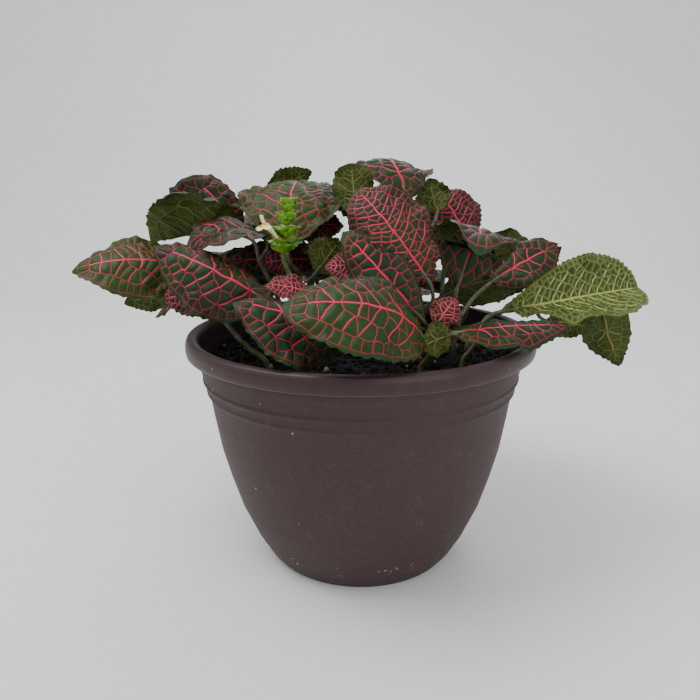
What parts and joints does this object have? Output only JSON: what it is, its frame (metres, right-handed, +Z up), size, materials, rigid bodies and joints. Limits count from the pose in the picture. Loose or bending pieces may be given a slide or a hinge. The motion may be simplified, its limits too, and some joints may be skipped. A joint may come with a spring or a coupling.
{
  "type": "potted nerve plant",
  "caption": "Nerve plant (Fittonia) in a brown plastic nursery pot of soil, with waved dark green leaves netted with pink veins and one small flower spike.",
  "frame": {"origin": "on the pot's axis, at the level of the pot's flat underside", "axes": "+Z up out of the pot; -Y towards the open side of the plant with the flower spike; +X to the right as seen from -Y"},
  "size_m": [0.2728, 0.221, 0.1963],
  "materials": {
    "pot_brown": "satin moulded plastic, dusty",
    "soil_black": "matt, crumbly peat",
    "leaf_green": "satin leaf, dark green netted with pink veins",
    "bract_green": "satin leaf, bright green",
    "corolla_cream": "soft petal, cream with a yellow throat"
  },
  "bodies": {
    "root": {"flower_corolla": "corolla_cream", "flower_spike": "bract_green", "pot": "pot_brown", "shoot_back_0_0": "leaf_green", "shoot_back_1_0": "leaf_green", "shoot_back_1_1": "leaf_green", "shoot_back_1_2": "leaf_green", "shoot_back_2_1": "leaf_green", "shoot_back_2_2": "leaf_green", "shoot_back_2_3": "leaf_green", "shoot_back_2_4": "leaf_green", "shoot_back_3_2": "leaf_green", "shoot_back_top": "leaf_green", "shoot_centre": "leaf_green", "shoot_far_right": "leaf_green", "shoot_front_left": "leaf_green", "shoot_hero": "leaf_green", "shoot_inner_left": "leaf_green", "shoot_inner_right": "leaf_green", "shoot_left": "leaf_green", "shoot_left_back": "leaf_green", "shoot_low_right": "leaf_green", "shoot_right": "leaf_green", "shoot_right_back": "leaf_green", "shoot_top": "leaf_green", "shoot_top_left": "leaf_green", "soil": "soil_black"}
  },
  "joints": []
}
